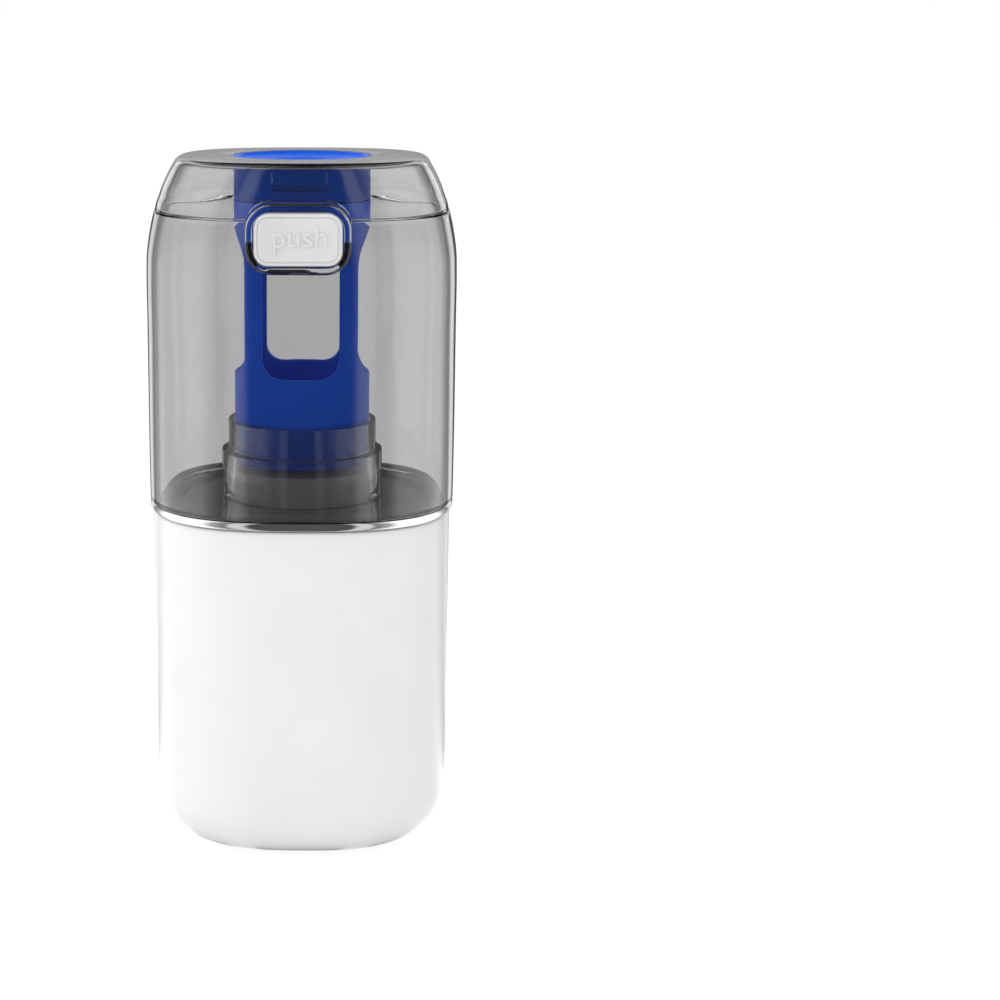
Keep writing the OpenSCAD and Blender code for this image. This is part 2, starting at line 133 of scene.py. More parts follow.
def surface(name, grid, wrap_rows=False, wrap_columns=True):
    """A piece whose skin is one grid; open first and last rows are closed by a flat
    face each."""
    faces = [skin(grid, wrap_rows, wrap_columns)]
    if wrap_columns and not wrap_rows:
        columns = grid.shape[1]
        last = (grid.shape[0] - 1) * columns
        faces += [np.arange(columns)[::-1][None, :], (last + np.arange(columns))[None, :]]
    return mesh_of(name, grid.reshape(-1, 3), faces)


def joined(name, grids, weld):
    """One piece from several (grid, wrap_rows, wrap_columns) skins, welded where
    their edges meet."""
    points, faces, first = [], [], 0
    for grid, wrap_rows, wrap_columns in grids:
        points.append(grid.reshape(-1, 3))
        faces.append(skin(grid, wrap_rows, wrap_columns, first))
        first += grid.shape[0] * grid.shape[1]
    return welded(mesh_of(name, np.concatenate(points), faces), weld)


def welded(piece, weld=1e-6):
    """Merges points that coincide and turns every face outwards."""
    work = bmesh.new()
    work.from_mesh(piece.data)
    bmesh.ops.remove_doubles(work, verts=work.verts, dist=weld)
    bmesh.ops.dissolve_degenerate(work, edges=work.edges, dist=weld * 0.1)
    bmesh.ops.recalc_face_normals(work, faces=work.faces)
    work.to_mesh(piece.data)
    work.free()
    return piece


def smooth(piece, angle=35):
    """Shades a piece smooth, with sharp edges where faces meet at more than angle."""
    piece.data.shade_smooth()
    piece.data.set_sharp_from_angle(angle=math.radians(angle))
    return piece


def quarter_line(width, height, radius, count):
    """Points of a rounded rectangle from the middle of its foot to the middle of its
    right side."""
    straight_x, straight_z = width / 2 - radius, height / 2 - radius
    corner = np.linspace(-np.pi / 2, 0, count)
    bend = np.stack([straight_x + radius * np.cos(corner),
                     -straight_z + radius * np.sin(corner)], -1)
    foot = np.linspace([0, -height / 2], bend[0], count, endpoint=False)
    side = np.linspace(bend[-1], [width / 2, 0], count)[1:]
    return np.concatenate([foot, bend, side])


def rounded_box_line(width, height, radius, count, upper=None):
    """Points round an upright rounded rectangle in x and z, centred on nought,
    starting at the middle of its foot and running to the right. The upper corners may
    have a radius of their own."""
    low = quarter_line(width, height, radius, count)
    above = quarter_line(width, height, radius if upper is None else upper, count)
    high = (above * [1, -1])[::-1][1:]
    right = np.concatenate([low, high])
    left = (right * [-1, 1])[::-1][1:-1]
    return np.concatenate([right, left])


def hand_over(piece, body, slot, finish, *nodes):
    """Gives a piece its finish and body, and hides the CAD nodes that it stands for; slot is
    not used.
    """
    piece.data.materials.clear()
    piece.data.materials.append(finish)
    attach(piece, body)
    if nodes:
        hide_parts(*nodes)
    return piece


# -------------------------------------------------------------- finishes

def finish_tree(name):
    """A new node tree with an output: returns the material, its nodes and links."""
    made = bpy.data.materials.new(name)
    made.use_nodes = True
    nodes, links = made.node_tree.nodes, made.node_tree.links
    nodes.clear()
    out = nodes.new("ShaderNodeOutputMaterial")
    return made, nodes, links, out


def pattern(nodes, links, scale, detail=3.0, rough=0.5):
    """Three-dimensional noise on Object coordinates."""
    where = nodes.new("ShaderNodeTexCoord")
    noise = nodes.new("ShaderNodeTexNoise")
    noise.inputs["Scale"].default_value = scale
    noise.inputs["Detail"].default_value = detail
    noise.inputs["Roughness"].default_value = rough
    links.new(where.outputs["Object"], noise.inputs["Vector"])
    return noise.outputs["Fac"]


def between(nodes, links, fac, low, high):
    """Maps a pattern from 0.3-0.7 to low-high."""
    ramp = nodes.new("ShaderNodeMapRange")
    ramp.inputs["From Min"].default_value = 0.3
    ramp.inputs["From Max"].default_value = 0.7
    ramp.inputs["To Min"].default_value = low
    ramp.inputs["To Max"].default_value = high
    links.new(fac, ramp.inputs["Value"])
    return ramp.outputs["Result"]


def tinted(nodes, links, fac, dark, light):
    """Mixes two colours by a pattern."""
    mix = nodes.new("ShaderNodeMix")
    mix.data_type = "RGBA"
    mix.inputs["A"].default_value = (*dark, 1)
    mix.inputs["B"].default_value = (*light, 1)
    links.new(fac, mix.inputs["Factor"])
    return mix.outputs["Result"]


def worked_out(nodes, links, operation, first, second=0, clamp=False):
    """One sum on two values, each a number or another node's output."""
    made = nodes.new("ShaderNodeMath")
    made.operation, made.use_clamp = operation, clamp
    for place, value in zip(made.inputs, (first, second)):
        if isinstance(value, (int, float)):
            place.default_value = value
        else:
            links.new(value, place)
    return made.outputs["Value"]


def bumped(nodes, links, shader, fac, depth):
    """Raises the surface by a pattern, depth in metres."""
    bump = nodes.new("ShaderNodeBump")
    bump.inputs["Strength"].default_value = 0.5
    bump.inputs["Distance"].default_value = depth
    links.new(fac, bump.inputs["Height"])
    links.new(bump.outputs["Normal"], shader.inputs["Normal"])


def moulded(name, dark, light, rough, spread=0.04, grain=900, depth=0.00001, coat=0.0,
            shine=0.5):
    """Moulded plastic: cloudy colour, gloss that varies a little, fine surface grain."""
    made, nodes, links, out = finish_tree(name)
    shader = nodes.new("ShaderNodeBsdfPrincipled")
    cloud = pattern(nodes, links, 45, 2)
    fine = pattern(nodes, links, grain, 4, 0.6)
    links.new(tinted(nodes, links, between(nodes, links, cloud, 0, 1), dark, light),
              shader.inputs["Base Color"])
    links.new(between(nodes, links, fine, rough - spread, rough + spread),
              shader.inputs["Roughness"])
    shader.inputs["IOR"].default_value = 1.49
    shader.inputs["Specular IOR Level"].default_value = shine
    if coat:
        shader.inputs["Coat Weight"].default_value = coat
        shader.inputs["Coat Roughness"].default_value = 0.06
    bumped(nodes, links, shader, fine, depth)
    links.new(shader.outputs["BSDF"], out.inputs["Surface"])
    return made


def metal(name, dark, light, rough):
    """Bare metal: drawn marks that run one way, in colour, gloss and relief."""
    made, nodes, links, out = finish_tree(name)
    shader = nodes.new("ShaderNodeBsdfPrincipled")
    shader.inputs["Metallic"].default_value = 1
    where = nodes.new("ShaderNodeTexCoord")
    drawn = nodes.new("ShaderNodeMapping")
    drawn.inputs["Scale"].default_value = (1, 1, 14)
    noise = nodes.new("ShaderNodeTexNoise")
    noise.inputs["Scale"].default_value = 500
    noise.inputs["Detail"].default_value = 4
    links.new(where.outputs["Object"], drawn.inputs["Vector"])
    links.new(drawn.outputs["Vector"], noise.inputs["Vector"])
    fac = noise.outputs["Fac"]
    links.new(tinted(nodes, links, between(nodes, links, fac, 0, 1), dark, light),
              shader.inputs["Base Color"])
    links.new(between(nodes, links, fac, rough * 0.7, rough * 1.3),
              shader.inputs["Roughness"])
    bumped(nodes, links, shader, fac, 0.00001)
    links.new(shader.outputs["BSDF"], out.inputs["Surface"])
    return made


# Painted dark outline on the clear finishes: a near-black shader is mixed in as painted shade
# where the view grazes a wall. These numbers set where the mix starts, where it is full, how
# dark it goes, and how much faces that turn up are spared.
OUTLINE_STARTS, OUTLINE_FULL, PAINTED_OUTLINE_SHADE, LEVEL_SPARED = 0.86, 0.95, 0.97, 0.35


def smoke_clear(name, tint, density):
    """Smoke-tinted clear plastic: smooth refraction with a grey tint, and some more
    absorption by depth. Where the view grazes a wall, a near-black shader is mixed in as
    a painted dark outline, less so on a level face. Light on its way to what stands
    inside goes straight through, dimmed a little."""
    made, nodes, links, out = finish_tree(name)
    shader = nodes.new("ShaderNodeBsdfPrincipled")
    shader.inputs["Base Color"].default_value = (tint, tint, tint, 1)
    shader.inputs["Roughness"].default_value = 0
    shader.inputs["IOR"].default_value = 1.49
    shader.inputs["Transmission Weight"].default_value = 1
    # Near-black shader for the painted dark outline at grazing view.
    edge = nodes.new("ShaderNodeBsdfPrincipled")
    edge.inputs["Base Color"].default_value = (0.012, 0.012, 0.014, 1)
    edge.inputs["Roughness"].default_value = 0.25
    edge.inputs["Specular IOR Level"].default_value = 0.02
    facing = nodes.new("ShaderNodeLayerWeight")
    facing.inputs["Blend"].default_value = 0.5
    ramp = nodes.new("ShaderNodeMapRange")
    ramp.interpolation_type = "SMOOTHSTEP"
    ramp.inputs["From Min"].default_value = OUTLINE_STARTS
    ramp.inputs["From Max"].default_value = OUTLINE_FULL
    ramp.inputs["To Max"].default_value = PAINTED_OUTLINE_SHADE
    links.new(facing.outputs["Facing"], ramp.inputs["Value"])
    face = nodes.new("ShaderNodeNewGeometry")
    parts = nodes.new("ShaderNodeSeparateXYZ")
    links.new(face.outputs["Normal"], parts.inputs["Vector"])
    outer = worked_out(nodes, links, "SUBTRACT", ramp.outputs["Result"],
                       face.outputs["Backfacing"], True)
    level = worked_out(nodes, links, "MULTIPLY", parts.outputs["Z"], LEVEL_SPARED)
    outline = worked_out(nodes, links, "SUBTRACT", outer, level, True)
    body = nodes.new("ShaderNodeMixShader")
    links.new(outline, body.inputs["Fac"])
    links.new(shader.outputs["BSDF"], body.inputs[1])
    links.new(edge.outputs["BSDF"], body.inputs[2])
    through = nodes.new("ShaderNodeBsdfTransparent")
    through.inputs["Color"].default_value = (0.86, 0.86, 0.86, 1)
    path = nodes.new("ShaderNodeLightPath")
    mix = nodes.new("ShaderNodeMixShader")
    links.new(path.outputs["Is Shadow Ray"], mix.inputs["Fac"])
    links.new(body.outputs["Shader"], mix.inputs[1])
    links.new(through.outputs["BSDF"], mix.inputs[2])
    links.new(mix.outputs["Shader"], out.inputs["Surface"])
    depth = nodes.new("ShaderNodeVolumeAbsorption")
    depth.inputs["Color"].default_value = (0.5, 0.5, 0.51, 1)
    depth.inputs["Density"].default_value = density
    links.new(depth.outputs["Volume"], out.inputs["Volume"])
    return made


WHITE_SHELL = moulded("white_shell_plastic", (0.75, 0.75, 0.752), (0.78, 0.78, 0.782), 0.2,
                      0.03, 700, 0.000004, coat=0.05, shine=0.12)
DECK = moulded("pale_deck_plastic", (0.60, 0.60, 0.605), (0.64, 0.64, 0.645), 0.5)
WHITE_GEAR = moulded("natural_gear_plastic", (0.72, 0.71, 0.67), (0.8, 0.79, 0.75), 0.45)
BLUE_CAGE = moulded("blue_cage_plastic", (0.001, 0.11, 0.88), (0.002, 0.125, 0.94), 0.34,
                    0.05, 800, 0.000008, shine=0.1)
BLUE_FUNNEL = moulded("blue_funnel_plastic", (0.001, 0.08, 0.58), (0.002, 0.095, 0.64), 0.34,
                      0.04, 800, 0.000005, shine=0.12)
BUTTON = moulded("satin_button_plastic", (0.60, 0.60, 0.61), (0.66, 0.66, 0.67), 0.38,
                 0.05, 1500, 0.000006)
DARK_PLASTIC = moulded("dark_grey_plastic", (0.045, 0.047, 0.05), (0.07, 0.072, 0.076), 0.5)
SLEEVE = moulded("cell_sleeve", (0.02, 0.022, 0.026), (0.035, 0.037, 0.042), 0.25)
RUBBER = moulded("foot_rubber", (0.03, 0.03, 0.031), (0.045, 0.045, 0.046), 0.75)
STEEL = metal("drawn_steel", (0.5, 0.51, 0.53), (0.66, 0.67, 0.69), 0.28)
BRASS = metal("turned_brass", (0.62, 0.43, 0.16), (0.76, 0.56, 0.25), 0.3)
BAND = metal("polished_band", (0.56, 0.56, 0.57), (0.62, 0.62, 0.63), 0.09)
SMOKE = smoke_clear("smoke_clear_plastic", 0.72, 120.0)
SMOKE_LID = smoke_clear("smoke_clear_lid", 0.80, 90.0)
SMOKE_COLLAR = smoke_clear("smoke_clear_collar", 0.82, 40.0)

NODE_FINISH = {
    "top_contacts": STEEL, "door_springs": STEEL, "gear_screws": STEEL, "motor_can": STEEL,
    "idler_axle": STEEL, "motor_rotor": STEEL, "drive_shaft": STEEL, "cutter_blade": STEEL,
    "hinge_pin": STEEL, "button_spring": STEEL,
    "output_bush": BRASS, "motor_terminals": BRASS, "motor_pinion": BRASS,
    "blade_screw": BRASS,
    "idler_gear": WHITE_GEAR, "output_gear": WHITE_GEAR,
    "battery_tray": DARK_PLASTIC, "gear_plate": DARK_PLASTIC, "motor_end_cap": DARK_PLASTIC,
    "start_switch": DARK_PLASTIC, "cutter_block": DARK_PLASTIC,
    "cell_front_left": SLEEVE, "cell_front_right": SLEEVE, "cell_rear_left": SLEEVE,
    "cell_rear_right": SLEEVE,
    "rubber_feet": RUBBER, "battery_door": WHITE_SHELL, "button_guide": SMOKE,
}
for node, finish in NODE_FINISH.items():
    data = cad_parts[node].data
    data.materials.clear()
    data.materials.append(finish)


def box_mm(node):
    """Lowest and highest corner of a node in millimetres."""
    low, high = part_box(node)
    return np.array(low) / MM, np.array(high) / MM


BASE_LOW, BASE_HIGH = box_mm("base_housing")
BIN_LOW = box_mm("reservoir_shell")[0]
CAGE_LOW, CAGE_HIGH = box_mm("cutter_cage")
FRAME_LOW, FRAME_HIGH = box_mm("button_bezel")
BUTTON_LOW = box_mm("press_button")[0]
DOOR_LOW = box_mm("battery_door")[0]


# ------------------------------------------------------------ white base

def square_ring(half, middle_y, height, angle):
    """Ring on a square outline around (0, middle_y), at the crossings of rays at
    every angle."""
    away = half / np.maximum(np.abs(np.cos(angle)), np.abs(np.sin(angle)))
    return np.stack([away * np.cos(angle), middle_y + away * np.sin(angle),
                     np.full_like(angle, height)], -1)[None]


def white_base():
    """Cup with a wide round at its foot, a thin bright rim, hollow inside, and a
    square door opening in its floor."""
    top, foot_z = BASE_HIGH[2], BASE_LOW[2]
    wide, inner, floor_z = 36.5, 34.5, 3.2
    fillet, inner_fillet = 12.0, 9.8
    foot = wide - 0.3 - fillet

    def bowl(radius, low, turned):
        """Quarter round between the flat of the foot and the side."""
        return [(foot + radius * math.sin(t), low + radius * (1 - math.cos(t)))
                for t in turned]

    line = bowl(fillet, foot_z, np.linspace(0, np.pi / 2, 14))
    line += [(wide - 0.2, 40), (wide, top - 1.2), (wide - 0.06, top - 0.6),
             (wide - 0.24, top - 0.22), (wide - 0.6, top), (inner, top), (inner, 81.2),
             (inner - 0.8, 81.2), (inner - 0.8, 79.2), (inner, 77.9),
             (inner - 0.3, foot_z + fillet)]
    line += bowl(inner_fillet, floor_z, np.linspace(np.pi / 2, 0, 8)[1:])
    angle = turn()
    rows = rings([(a, z, SQUARENESS) for a, z in line], angle)
    door_half, door_y = 17.2, DOOR_LOW[1] + 16.9
    holes = [square_ring(door_half, door_y, z, angle) for z in (floor_z, foot_z)]
    piece = surface("white_base", np.concatenate([rows, *holes]), wrap_rows=True)
    return smooth(welded(piece), 40)


def deck():
    """Deck plate with a softened edge and the round plinth that fills the collar; a
    closed line of half width, height and squareness carried round."""
    low, high = box_mm("base_deck")
    n, under, crown = SQUARENESS, low[2], high[2]
    edge_top, plinth, bore = 83.4, 16.6, 5
    face = edge_top + 0.6
    profile = [(34.2, under, n), (34.2, edge_top - 0.4, n), (34.05, edge_top, n),
               (33.5, edge_top + 0.2, n), (33.3, edge_top + 0.45, n), (33.0, face, n),
               (24, face, 2.3), (plinth + 0.5, face, 2), (plinth + 0.15, face + 0.15, 2),
               (plinth, face + 0.5, 2), (plinth, crown - 0.6, 2),
               (plinth - 0.2, crown - 0.15, 2), (plinth - 0.6, crown, 2),
               (bore, crown, 2), (bore, under, 2)]
    piece = surface("deck_plate", rings(profile, turn(128)), wrap_rows=True)
    return smooth(welded(piece), 40)


hand_over(white_base(), "base", "white_plastic", WHITE_SHELL, "base_housing")
hand_over(deck(), "base", "grey_plastic", DECK, "base_deck")


# ------------------------------------------------- clear bin, collar, lid

NOTCH_W, NOTCH_H, NOTCH_R = 24.2, 16.0, 6.0
NOTCH_Z = (FRAME_LOW[2] + FRAME_HIGH[2]) / 2
BIN_EDGE, LID_EDGE = 155.7, 156.0
BUTTON_W, BUTTON_H, BUTTON_R = 20.2, 11.9, 3.3
WORD_W, WORD_Z, WORD_DEPTH = 12.4, 150.4, 0.5
STEM_Z = 148.0
PIN_Y, PIN_Z = 36.9, 155.8
LID_HOLE = 16.8
BAND_TOP = 86.0


def cut_away(piece, cutter):
    """Takes the cutter's solid away from the piece and removes the cutter."""
    step = piece.modifiers.new("cut", "BOOLEAN")
    step.operation, step.solver, step.object = "DIFFERENCE", "EXACT", cutter
    bpy.context.view_layer.update()
    done = piece.evaluated_get(bpy.context.evaluated_depsgraph_get())
    data = bpy.data.meshes.new_from_object(done)
    piece.modifiers.clear()
    piece.data = data
    bpy.data.objects.remove(cutter)
    return piece


def notch_cutter(gap):
    """Upright prism a gap wider all round than the button frame."""
    sizes = [(gap, -45), (gap, -31)]
    return welded(surface("notch", stepped(sizes, NOTCH_W, NOTCH_H, NOTCH_R, NOTCH_Z)))


def clear_bin():
    """Clear bin in one skin: underside, bulged outer wall, rounded lip, inner wall that
    meets the floor in a small round, and the round neck hole; then the notch."""
    n = SQUARENESS
    outer = flowing([(37.3, 86.6), (37.36, 92), (37.47, 130), (37.5, 141), (37.34, 146),
                     (36.8, 150), (36.12, 153.5), (35.62, BIN_EDGE - 0.1)], 70)
    inner = flowing([(33.6, BIN_EDGE - 0.1), (34.05, 153.5), (34.75, 150), (35.3, 146),
                     (35.5, 141), (35.45, 120), (35.36, 92), (35.3, 86.5)], 70)
    low = BIN_LOW[2]
    under = [(18.46, 84.2, 2), (26, 84.2, 2.3), (34.5, 84.2, n), (34.85, 84.1, n),
             (35.0, 83.8, n), (35.15, low, n), (35.5, low, n), (35.6, low + 0.1, n),
             (35.6, BAND_TOP, n), (36.95, BAND_TOP, n), (37.2, BAND_TOP + 0.08, n),
             (37.29, BAND_TOP + 0.3, n)]
    lip = [(35.53, BIN_EDGE, n), (33.69, BIN_EDGE, n)]
    floor = [(35.22, 86.1, n), (35.0, 85.8, n), (34.7, 85.6, n), (34.3, 85.5, n),
             (25, 85.5, 2.3), (18.46, 85.5, 2)]
    profile = under + [(a, z, n) for a, z in outer] + lip + [(a, z, n) for a, z in inner]
    piece = welded(surface("clear_bin", rings(profile + floor, turn()), wrap_rows=True))
    return smooth(cut_away(piece, notch_cutter(0.06)), 50)


def bin_band():
    """Polished band at the foot of the bin: a ring whose outside is a half round."""
    n, low = SQUARENESS, BIN_LOW[2]
    t = np.linspace(-np.pi / 2, np.pi / 2, 12)
    half = (BAND_TOP - 0.03 - low) / 2
    profile = [(36.5 + 0.78 * math.cos(k), low + half + half * math.sin(k), n) for k in t]
    profile += [(35.63, BAND_TOP - 0.03, n), (35.63, low, n)]
    return smooth(welded(surface("bin_band", rings(profile, turn()), wrap_rows=True)), 40)


def clear_lid():
    """Clear lid in one skin: rounded lower lip, wall that leans in, tight round
    shoulder, thin flat roof with the funnel hole, and the inside; then the notch."""
    n, hole = SQUARENESS, LID_HOLE
    outer = flowing([(35.36, LID_EDGE + 0.1), (35.0, 157.7), (34.28, 159.6), (33.62, 161.5),
                     (32.75, 163.5), (31.8, 165.4)], 30)
    inner = flowing([(29.85, 165.4), (30.72, 163.5), (31.6, 161.5), (32.28, 159.6),
                     (32.95, 157.7), (33.3, LID_EDGE + 0.1)], 30)
    shoulder = [(31.4, 166.1), (31.0, 166.8), (30.7, 167.3), (30.4, 167.75), (30.0, 168.1),
                (29.5, 168.35), (28.9, 168.47), (28.2, 168.5)]
    roof = [(22, 168.5, 2.3), (hole + 0.35, 168.5, 2), (hole + 0.1, 168.42, 2),
            (hole, 168.2, 2), (hole, 167.5, 2), (hole + 0.1, 167.28, 2),
            (hole + 0.3, 167.2, 2), (22, 167.2, 2.3)]
    inside = [(28.2, 167.2), (28.7, 167.12), (29.1, 166.9), (29.35, 166.55), (29.6, 166.0)]
    profile = [(a, z, n) for a, z in [(35.27, LID_EDGE), *outer, *shoulder]] + roof
    profile += [(a, z, n) for a, z in [*inside, *inner, (33.4, LID_EDGE)]]
    piece = welded(surface("clear_lid", rings(profile, turn()), wrap_rows=True))
    return smooth(cut_away(piece, notch_cutter(0.3)), 50)


def turned_piece(name, profile, radii):
    """Piece turned on the middle axis: a closed line of radius and height carried
    round, with softened corners."""
    line = softened(profile, radii)
    grid = rings([(r, z, 2) for r, z in line], turn(128))
    return smooth(welded(surface(name, grid, wrap_rows=True)), 40)


def collar():
    """Two-step clear collar with softened rims."""
    return turned_piece("clear_collar", [
        (17.1, 84.25), (18.4, 84.25), (18.4, 85.56), (20.05, 85.56), (20.05, 97.0),
        (18.4, 97.0), (18.4, 104.4), (17.1, 104.4)],
        [0.1, 0.1, 0.1, 0.25, 0.35, 0.3, 0.35, 0.35])


hand_over(collar(), "bin", "smoke_clear", SMOKE_COLLAR, "neck_collar")


def funnel():
    """Blue funnel: rim ring, shallow dish, pencil bore and outer skirt."""
    low, high = box_mm("pencil_funnel")
    r, z0, z1 = high[0], low[2], high[2]
    return turned_piece("pencil_funnel_blue", [
        (r, z0), (r, z1 - 0.25), (r - 0.25, z1), (r - 1.25, z1), (r - 1.45, z1 - 0.5),
        (8, z1 - 1.1), (4.7, z1 - 1.7), (4.1, z1 - 2.3), (4.1, z0 + 0.2), (6.1, z0 + 0.2),
        (6.1, z1 - 4.3), (r - 1.8, z1 - 3.7), (r - 1.8, z0)],
        [0.2, 0.15, 0.15, 0.12, 0.3, 1.5, 0.5, 0.4, 0.2, 0.2, 0.4, 0.4, 0.2])


hand_over(funnel(), "lid", "blue_funnel", BLUE_FUNNEL, "pencil_funnel")


# ------------------------------------------------ button, frame and latch

def upright_ring(width, height, radius, y, middle_z):
    """Rounded rectangle of the given size standing at y, as one row of points."""
    line = rounded_box_line(width, height, radius, 12)
    return np.stack([line[:, 0], np.full(len(line), y), line[:, 1] + middle_z], -1)


def stepped(sizes, width, height, radius, middle_z):
    """Rows of an upright rounded rectangle; each row is (grow, y): how far its outline
    stands outside the given one, and where it stands."""
    return np.stack([upright_ring(width + 2 * g, height + 2 * g, radius + g, y, middle_z)
                     for g, y in sizes])


def quarter_round(grow_from, grow_to, y_from, y_to, outwards=True):
    """Pairs of outline growth and place along a quarter ellipse between two faces."""
    t = np.linspace(0, np.pi / 2, 6)
    if outwards:
        return [(grow_from + (grow_to - grow_from) * math.sin(k),
                 y_to + (y_from - y_to) * math.cos(k)) for k in t]
    return [(grow_to + (grow_from - grow_to) * math.cos(k),
             y_from + (y_to - y_from) * math.sin(k)) for k in t]


def button_frame():
    """Thick clear frame: a rounded bar carried round a rounded rectangle, with a full
    round on its front outer edge and a small one on the inner edge."""
    front, back = FRAME_LOW[1], FRAME_HIGH[1]
    inner = (BUTTON_W + 0.6 - NOTCH_W) / 2
    sizes = [(0.0, back)]
    sizes += quarter_round(-0.95, 0.0, front, front + 0.95)[::-1]
    sizes += quarter_round(inner, inner + 0.3, front + 0.3, front, outwards=False)[::-1]
    sizes += [(inner, back)]
    grid = stepped(sizes, NOTCH_W, NOTCH_H, NOTCH_R, NOTCH_Z)
    return smooth(welded(surface("button_frame", grid, wrap_rows=True)), 50)


def button_cap():
    """Push button: a cap with a soft edge, a fine groove inside its edge and a faintly
    crowned face, closed at the back."""
    front, back = BUTTON_LOW[1] + 0.2, -35.6
    sizes = [(0.0, back), (0.0, front + 0.75)]
    sizes += quarter_round(-0.55, -0.02, front + 0.2, front + 0.72)[::-1]
    sizes += [(-0.72, front + 0.2), (-0.84, front + 0.42), (-0.96, front + 0.42),
              (-1.08, front + 0.22), (-1.2, front + 0.16), (-1.6, front + 0.13),
              (-2.4, front + 0.12)]
    grid = stepped(sizes, BUTTON_W, BUTTON_H, BUTTON_R, NOTCH_Z)
    middle = np.array([0.0, 0.0, NOTCH_Z])
    shrunk = [middle + (grid[-1] - middle) * [k, 1, k] for k in (0.66, 0.33, 0.02)]
    grid = np.concatenate([grid, np.stack(shrunk)])
    return smooth(welded(surface("button_cap", grid)), 30)


def button_word():
    """Small raised word on the button, cut from letter outlines and given a depth."""
    font = bpy.data.curves.new("button_word", "FONT")
    font.body = "push"
    font.align_x = "CENTER"
    font.size = 1.0
    font.extrude = 0.5
    font.bevel_depth = 0.018
    font.bevel_resolution = 2
    font.resolution_u = 6
    letters = bpy.data.objects.new("letters", font)
    bpy.context.scene.collection.objects.link(letters)
    bpy.context.view_layer.update()
    data = bpy.data.meshes.new_from_object(letters)
    bpy.data.objects.remove(letters)
    count = len(data.vertices)
    flat = np.empty(count * 3)
    data.vertices.foreach_get("co", flat)
    x, up, depth = flat.reshape(-1, 3).T
    wide = WORD_W / np.ptp(x)
    near = (depth.max() - depth) * wide
    stand = BUTTON_LOW[1] + 0.04 + np.minimum(near, WORD_DEPTH)
    x = (x - (x.min() + x.max()) / 2) * wide + 0.4
    place = np.stack([x, stand, WORD_Z + up * wide], -1) * MM
    data.vertices.foreach_set("co", place.ravel())
    data.update()
    piece = bpy.data.objects.new("button_word", data)
    bpy.context.scene.collection.objects.link(piece)
    return smooth(welded(piece), 30)


def block(name, low, high, radius=0.25):
    """Small rounded block: an upright rounded rectangle carried from front to back, its
    first and last rows pulled in to round the ends."""
    low, high = np.array(low, float), np.array(high, float)
    width, height = high[0] - low[0], high[2] - low[2]
    sizes = [(-radius, low[1]), (-radius * 0.3, low[1] + radius * 0.3), (0, low[1] + radius),
             (0, high[1] - radius), (-radius * 0.3, high[1] - radius * 0.3),
             (-radius, high[1])]
    grid = stepped(sizes, width, height, radius * 1.2, (low[2] + high[2]) / 2)
    grid[..., 0] += (low[0] + high[0]) / 2
    return smooth(welded(surface(name, grid)), 40)


def button_stem():
    """Round stem behind the button, with a softened end."""
    t = turn(32)
    rows = [(1.2, -21.05), (1.42, -21.2), (1.5, -21.5), (1.5, -35.8)]
    grid = np.stack([np.stack([r * np.cos(t), np.full_like(t, y), STEM_Z + r * np.sin(t)], -1)
                     for r, y in rows])
    return smooth(welded(surface("button_stem", grid)), 40)


def button_coil():
    """Button spring: round wire carried along a helix of three turns round the stem."""
    turns, radius, wire = 3, 2.3, 0.24
    front, length = -27.1, 2.3
    t = np.linspace(0, 2 * np.pi * turns, 24 * turns + 1)[:, None]
    a = turn(12)[None]
    away = radius + wire * np.cos(a)
    y = front + length * t / t.max() + wire * np.sin(a)
    grid = np.stack([away * np.cos(t), y, STEM_Z + away * np.sin(t)], -1)
    return smooth(welded(surface("button_coil", grid)), 40)


def latch_tongue():
    """Clear tongue under the lid: its front follows the inside of the lid wall where
    that leans in, and stays upright below it."""
    across = np.linspace(-6.4, 6.4, 13)
    up = np.array([152.0, 152.15, 155, 158, 159.6, 161, 162, 163, 163.6])
    inner = np.interp(up, [156, 159.6, 163.5], [33.4, 32.28, 30.72])[:, None]
    wall = inner * (1 - (np.abs(across)[None] / inner) ** SQUARENESS) ** (1 / SQUARENESS)
    front = -np.minimum(31.9, wall - 0.08)
    back = np.full_like(front, -30.5)
    x = np.broadcast_to(across, front.shape)
    z = np.broadcast_to(up[:, None], front.shape)
    ring = np.concatenate([np.stack([x, front, z], -1),
                           np.stack([x, back, z], -1)[:, ::-1]], axis=1)
    return smooth(welded(surface("latch_tongue", ring)), 40)


def knuckle(name, x_low, x_high, bore):
    """Hinge knuckle: a ring of round section ends carried along the hinge line."""
    t = turn(40)
    soft, radius = 0.25, 2.25
    rows = [(bore, x_low + soft), (bore + soft, x_low), (radius - soft, x_low),
            (radius, x_low + soft), (radius, x_high - soft), (radius - soft, x_high),
            (bore + soft, x_high), (bore, x_high - soft)]
    grid = np.stack([np.stack([np.full_like(t, x), PIN_Y + r * np.cos(t),
                               PIN_Z + r * np.sin(t)], -1) for r, x in rows])
    return smooth(welded(surface(name, grid, wrap_rows=True)), 40)


